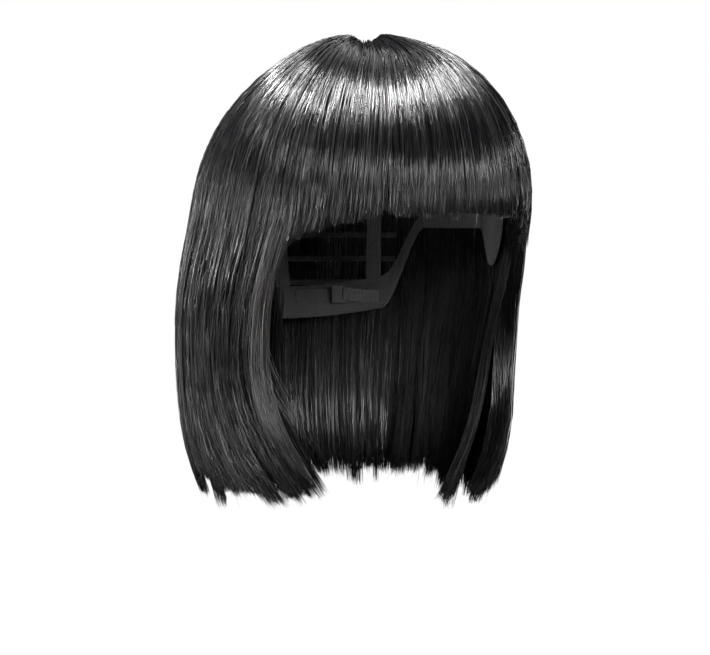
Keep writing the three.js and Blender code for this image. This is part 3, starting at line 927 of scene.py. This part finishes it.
def add_cap_stitches():
    thread = stitch_material()
    rows = []
    for offset in (INSIDE, BAND_THICKNESS - INSIDE):
        for edge in (lower_seam, upper_seam):
            rows.append(stitch_row(around(RING_START, RING_END, edge, offset, STITCH_PITCH), STITCH_SHARE))
    add_threads("edge_band_stitches", np.concatenate(rows), STITCH_RADIUS, thread)
    hem = around(RING_START, RING_END, hem_line, BAND_THICKNESS / 2, HEM_PITCH)
    hem = np.concatenate([hem, hem[:2]])[None]
    add_threads("edge_hem", hem, HEM_RADIUS, MATERIALS["band_tape"], sides=8)
    seams = []
    half = WEFT_HEIGHT * ZIGZAG_HALF_HEIGHT
    for from_angle, to_angle, heights in WEFT_ROWS.values():
        for z in heights:
            for offset in (WEFT_IN + INSIDE, WEFT_IN + WEFT_THICKNESS - INSIDE):
                lines = [
                    around(from_angle, to_angle, lambda angle, at=at: at + 0 * angle, offset, ZIGZAG_PITCH)
                    for at in (z - half, z + half)
                ]
                seams.append(zigzag(*lines))
    thickness = STITCH_RADIUS * ZIGZAG_THREAD
    add_threads("weft_stitches", np.concatenate(seams), thickness, thread, sides=3)


FUZZ_SCALE = 900.0
WOVEN_BUMP = 0.8
WOVEN_RANGE = (0.1, 0.9)


def woven(name, dark, light, roughness, patterns, bump):
    """Cloth by place on the cap: patterns lists (pitch along the head, pitch up it, strength)."""
    material, tree, shader = new_material(name)
    place = add_node(tree, "ShaderNodeTexCoord")
    parts = add_node(tree, "ShaderNodeSeparateXYZ")
    tree.links.new(place.outputs["Object"], parts.inputs[0])
    x, y, z = (parts.outputs[axis] for axis in "XYZ")
    ahead = calculate(tree, "MULTIPLY", y, -HEAD_HALF_WIDTH / HEAD_HALF_LENGTH)
    turn = calculate(tree, "ARCTAN2", x, ahead)
    arc = calculate(tree, "MULTIPLY", turn, (HEAD_HALF_WIDTH + HEAD_HALF_LENGTH) / 2)
    height = None
    for along_pitch, up_pitch, strength in patterns:
        phases = [
            calculate(tree, "MULTIPLY", source, 2 * math.pi / pitch)
            for source, pitch in ((arc, along_pitch), (z, up_pitch))
            if pitch
        ]
        phase = calculate(tree, "ADD", *phases) if len(phases) == 2 else phases[0]
        wave = calculate(tree, "MULTIPLY", calculate(tree, "SINE", phase), strength / 2)
        height = wave if height is None else calculate(tree, "ADD", height, wave)
    fuzz = add_node(tree, "ShaderNodeTexNoise", {"Scale": FUZZ_SCALE, "Detail": 3.0})
    tree.links.new(place.outputs["Object"], fuzz.inputs["Vector"])
    height = calculate(tree, "ADD", height, fuzz.outputs["Fac"])
    colour = colour_ramp(tree, height, dark, light, *WOVEN_RANGE)
    tree.links.new(colour, shader.inputs["Base Color"])
    add_bump(tree, shader, height, WOVEN_BUMP, bump)
    shader.inputs["Roughness"].default_value = roughness
    shader.inputs["Sheen Weight"].default_value = 0.15
    shader.inputs["Sheen Roughness"].default_value = 0.5
    return material


PEBBLE_SCALE = 1600.0
PEBBLE_BUMP = 0.3
PEBBLE_HEIGHT = 0.00004


def moulded_plastic():
    """Semi-gloss black plastic with the faint pebble of its mould."""
    material, tree, shader = new_material("hook_plastic")
    place = add_node(tree, "ShaderNodeTexCoord")
    grain = add_node(tree, "ShaderNodeTexNoise", {"Scale": PEBBLE_SCALE, "Detail": 2.0})
    tree.links.new(place.outputs["Object"], grain.inputs["Vector"])
    colour = colour_ramp(tree, grain.outputs["Fac"], (0.005, 0.005, 0.006), (0.012, 0.012, 0.013))
    tree.links.new(colour, shader.inputs["Base Color"])
    add_bump(tree, shader, grain.outputs["Fac"], PEBBLE_BUMP, PEBBLE_HEIGHT)
    shader.inputs["Roughness"].default_value = 0.42
    return material


MATERIALS = {
    "cap_net": woven(
        "cap_net", (0.003, 0.003, 0.004), (0.050, 0.048, 0.052), 0.75,
        [(0.0016, 0.0016, 0.6), (-0.0016, 0.0016, 0.6)], 0.0003,
    ),
    "elastic": woven(
        "ribbed_elastic", (0.005, 0.005, 0.006), (0.065, 0.063, 0.067), 0.7,
        [(0.0011, None, 0.8), (None, 0.0007, 0.35)], 0.00025,
    ),
    "band_tape": woven(
        "band_tape", (0.005, 0.005, 0.006), (0.040, 0.039, 0.042), 0.65,
        [(0.0009, 0.0009, 0.7)], 0.00015,
    ),
    "weft_tape": woven(
        "weft_tape", (0.004, 0.004, 0.005), (0.018, 0.017, 0.019), 0.55,
        [(0.0009, None, 0.8), (None, 0.0011, 0.4)], 0.0003,
    ),
    "hook_plastic": moulded_plastic(),
}
CAP_FINISHES = {
    "crown_patch": "cap_net",
    "rib_": "elastic",
    "ear_elastic": "elastic",
    "front_band": "band_tape",
    "ear_tab": "band_tape",
    "nape_band": "band_tape",
    "adjuster_pockets": "band_tape",
    "adjuster_hook": "hook_plastic",
    "weft_": "weft_tape",
}
for node_name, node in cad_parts.items():
    for prefix, finish in CAP_FINISHES.items():
        if node_name.startswith(prefix):
            node.data.materials.clear()
            node.data.materials.append(MATERIALS[finish])

# The adjuster's strap, in millimetres along the nape from the hook's middle and off the head: it
# leaves the nape band, goes round the hook's end bar through its slot, and is sewn back on itself.
STRAP_ROUTE = [
    (-24.0, -0.85), (-20.0, -0.9), (-16.0, -1.35), (-12.0, -2.7), (-8.5, -4.5), (-6.0, -5.6),
    (-4.4, -6.0), (-3.2, -5.8), (-2.75, -4.9), (-3.2, -4.0), (-4.4, -3.8), (-6.0, -3.75),
    (-8.5, -3.4), (-11.0, -2.2),
]
STRAP_CORDS = 5
STRAP_SAMPLES = 90
STRAP_SMOOTHING = 12  # passes that round the route's corners
CORD_SAMPLES = 8
CORD_VALLEY = 0.72  # thickness between two cords, as a share of the strap's
CORD_HEIGHT = 0.28
EDGE_POWER = 12
EDGE_LEAST = 0.15
STRAP_WIDTH = 0.008
STRAP_THICKNESS = 0.0009
ADJUSTER_Z = -0.138
POCKET_END_ANGLE = 175
NAPE_SAMPLE_TURN = 20  # degrees from the pockets' end to where the head's curve is measured
POCKET_ROW = 0.033
HOOK_FROM_POCKET = 0.0055


def nape_degrees(distance):
    """Degrees round the head for a distance along the nape at the adjusters' height."""
    turn = math.radians(POCKET_END_ANGLE - NAPE_SAMPLE_TURN)
    speed = math.hypot(HEAD_HALF_WIDTH * math.cos(turn), HEAD_HALF_LENGTH * math.sin(turn))
    return np.degrees(distance / (speed * math.sin(float(head_polar(np.array(ADJUSTER_Z))))))


def strap_section():
    """Half the ribbon's outline and then the other half: cords side by side, with rounded edges."""
    across = np.linspace(-1, 1, CORD_SAMPLES * STRAP_CORDS + 1)
    ridge = CORD_VALLEY + CORD_HEIGHT * np.abs(np.sin(math.pi * STRAP_CORDS * (across + 1) / 2))
    edge = np.sqrt(np.clip(1 - np.abs(across) ** EDGE_POWER, 0, 1))
    half = np.maximum(ridge * edge, EDGE_LEAST) * STRAP_THICKNESS / 2
    outline = np.stack([across * STRAP_WIDTH / 2, half], -1)
    return np.concatenate([outline, (outline * [1, -1])[::-1]])


def add_strap(side, sign):
    """The strap on one side: sign is 1 at the wearer's left and -1 at the wearer's right."""
    route = np.array(STRAP_ROUTE) / 1000
    run = np.linspace(0, len(route) - 1, STRAP_SAMPLES)
    route = np.stack([np.interp(run, np.arange(len(route)), route[:, axis]) for axis in (0, 1)], -1)
    for _ in range(STRAP_SMOOTHING):
        route[1:-1] = (route[:-2] + 2 * route[1:-1] + route[2:]) / 4
    pocket_angle = POCKET_END_ANGLE - nape_degrees(POCKET_ROW)
    hook_angle = pocket_angle + nape_degrees(HOOK_FROM_POCKET)
    angle = hook_angle + nape_degrees(route[:, 0])
    centre = head_at(angle, np.full_like(angle, ADJUSTER_Z), route[:, 1])
    up = np.array([0, 0, 1.0])
    tangent = unit(np.gradient(centre, axis=0) * [1, 1, 0])
    out = np.cross(tangent, up)
    section = strap_section()
    rings = centre[:, None] + section[None, :, :1] * up + section[None, :, 1:] * out[:, None]
    rings[..., 0] *= sign
    steps, points = rings.shape[:2]
    index = np.arange(steps * points).reshape(steps, points)
    faces = []
    for i in range(steps - 1):
        for k in range(points):
            after = (k + 1) % points
            faces.append((index[i, k], index[i, after], index[i + 1, after], index[i + 1, k]))
    half = points // 2
    for end, flip in ((0, False), (steps - 1, True)):
        for k in range(half - 1):
            near, far = index[end, k : k + 2], index[end, points - 2 - k : points - k]
            cap_face = [near[0], far[1], far[0], near[1]]
            faces.append(tuple(cap_face[::-1] if flip else cap_face))
    mesh = bpy.data.meshes.new(f"adjuster_strap_{side}_elastic")
    mesh.from_pydata(rings.reshape(-1, 3).tolist(), [], [tuple(map(int, face)) for face in faces])
    turned = bmesh.new()
    turned.from_mesh(mesh)
    bmesh.ops.recalc_face_normals(turned, faces=turned.faces)
    turned.to_mesh(mesh)
    turned.free()
    mesh.polygons.foreach_set("use_smooth", np.ones(len(mesh.polygons), bool))
    mesh.materials.append(MATERIALS["elastic"])
    piece = bpy.data.objects.new(mesh.name, mesh)
    bpy.context.scene.collection.objects.link(piece)
    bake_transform(piece)
    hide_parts(f"adjuster_strap_{side}")


add_cap_stitches()
add_strap("left", 1)
add_strap("right", -1)

# ---- Camera, floor and light ----
CAMERA_AZIMUTH = -30
CAMERA_ELEVATION = 2
CAMERA_DISTANCE = 2.0
PHOTO_WIDTH = 710
PHOTO_SCALE = 1727  # photograph units to the metre at the wig
SENSOR_WIDTH = 36
AIM_ASIDE = -0.0029  # the middle of the view, to the right of the cap's seat
AIM_Z = -0.154
FLOOR_DROP = 0.12  # from the tips down to the floor
FLOOR_HALF = 0.5
WORLD_LIGHT = 0.05


def direction(azimuth, elevation):
    turn, rise = math.radians(azimuth), math.radians(elevation)
    return Vector(
        (math.sin(turn) * math.cos(rise), -math.cos(turn) * math.cos(rise), math.sin(rise))
    )


def add_camera():
    camera = bpy.data.objects.new("camera", bpy.data.cameras.new("camera"))
    camera.data.sensor_width = SENSOR_WIDTH
    camera.data.lens = PHOTO_SCALE * SENSOR_WIDTH * CAMERA_DISTANCE / PHOTO_WIDTH
    back = direction(CAMERA_AZIMUTH, CAMERA_ELEVATION)
    right = Vector((0, 0, 1)).cross(back).normalized()
    aim = right * AIM_ASIDE + Vector((0, 0, AIM_Z))
    camera.location = aim + back * CAMERA_DISTANCE
    camera.rotation_euler = back.to_track_quat("Z", "Y").to_euler()
    bpy.context.scene.collection.objects.link(camera)
    bpy.context.scene.camera = camera


def add_softbox(name, azimuth, elevation, distance, size, power, aim):
    light = bpy.data.lights.new(name, "AREA")
    light.shape = "RECTANGLE"
    light.size, light.size_y = size
    light.energy = power
    lamp = bpy.data.objects.new(name, light)
    back = direction(azimuth, elevation)
    lamp.location = Vector(aim) + back * distance
    lamp.rotation_euler = back.to_track_quat("Z", "Y").to_euler()
    lamp.visible_camera = False
    bpy.context.scene.collection.objects.link(lamp)


def add_floor():
    floor_z = TIP_Z - FLOOR_DROP
    mesh = bpy.data.meshes.new("floor")
    turns = ((-1, -1), (1, -1), (1, 1), (-1, 1))
    corners = [(FLOOR_HALF * x, FLOOR_HALF * y, floor_z) for x, y in turns]
    mesh.from_pydata(corners, [], [(0, 1, 2, 3)])
    floor = bpy.data.objects.new("floor", mesh)
    bpy.context.scene.collection.objects.link(floor)
    material, _, shader = new_material("floor_paint")
    shader.inputs["Base Color"].default_value = (0.8, 0.8, 0.8, 1)
    shader.inputs["Roughness"].default_value = 0.9
    floor.data.materials.append(material)
    floor.visible_glossy = False


def add_world():
    world = bpy.data.worlds.new("studio")
    bpy.context.scene.world = world
    world.use_nodes = True
    tree = world.node_tree
    background = tree.nodes["Background"]
    ray = tree.nodes.new("ShaderNodeLightPath")
    strength = add_node(tree, "ShaderNodeMapRange", {"To Min": WORLD_LIGHT, "To Max": 1.0})
    tree.links.new(ray.outputs["Is Camera Ray"], strength.inputs["Value"])
    tree.links.new(strength.outputs["Result"], background.inputs["Strength"])
    background.inputs["Color"].default_value = (1, 1, 1, 1)


add_camera()
add_floor()
add_world()
bpy.context.scene.view_settings.view_transform = "Standard"
WIG_MIDDLE = (0, 0, -0.1)

# Name, azimuth, elevation, distance, width and height, and power in watts.
LIGHTS = [
    ("key_overhead", CAMERA_AZIMUTH - 8, 74, 1.6, (1.2, 0.17), 46),
    ("key_side", CAMERA_AZIMUTH - 58, 58, 1.6, (0.8, 0.20), 60),
    ("fringe_fill", CAMERA_AZIMUTH + 22, 13, 1.8, (0.7, 0.25), 16),
    ("front_low", CAMERA_AZIMUTH - 56, -1, 1.8, (0.8, 0.12), 9),
    ("face_low", CAMERA_AZIMUTH - 12, -1, 1.8, (0.45, 0.14), 2.5),
    ("right_low", -125, -1, 1.8, (0.6, 0.14), 7),
    ("left_front_low", 36, -1, 1.8, (0.5, 0.14), 5),
    ("left_low", 105, -6, 1.8, (0.8, 0.30), 6),
    ("left_high", 110, 45, 1.8, (0.9, 0.30), 8),
    ("top_back", CAMERA_AZIMUTH + 180, 66, 1.7, (0.9, 0.9), 6),
    ("back_low", 150, -14, 1.8, (0.7, 0.40), 8),
]
for name, azimuth, elevation, distance, size, power in LIGHTS:
    add_softbox(name, azimuth, elevation, distance, size, power, WIG_MIDDLE)
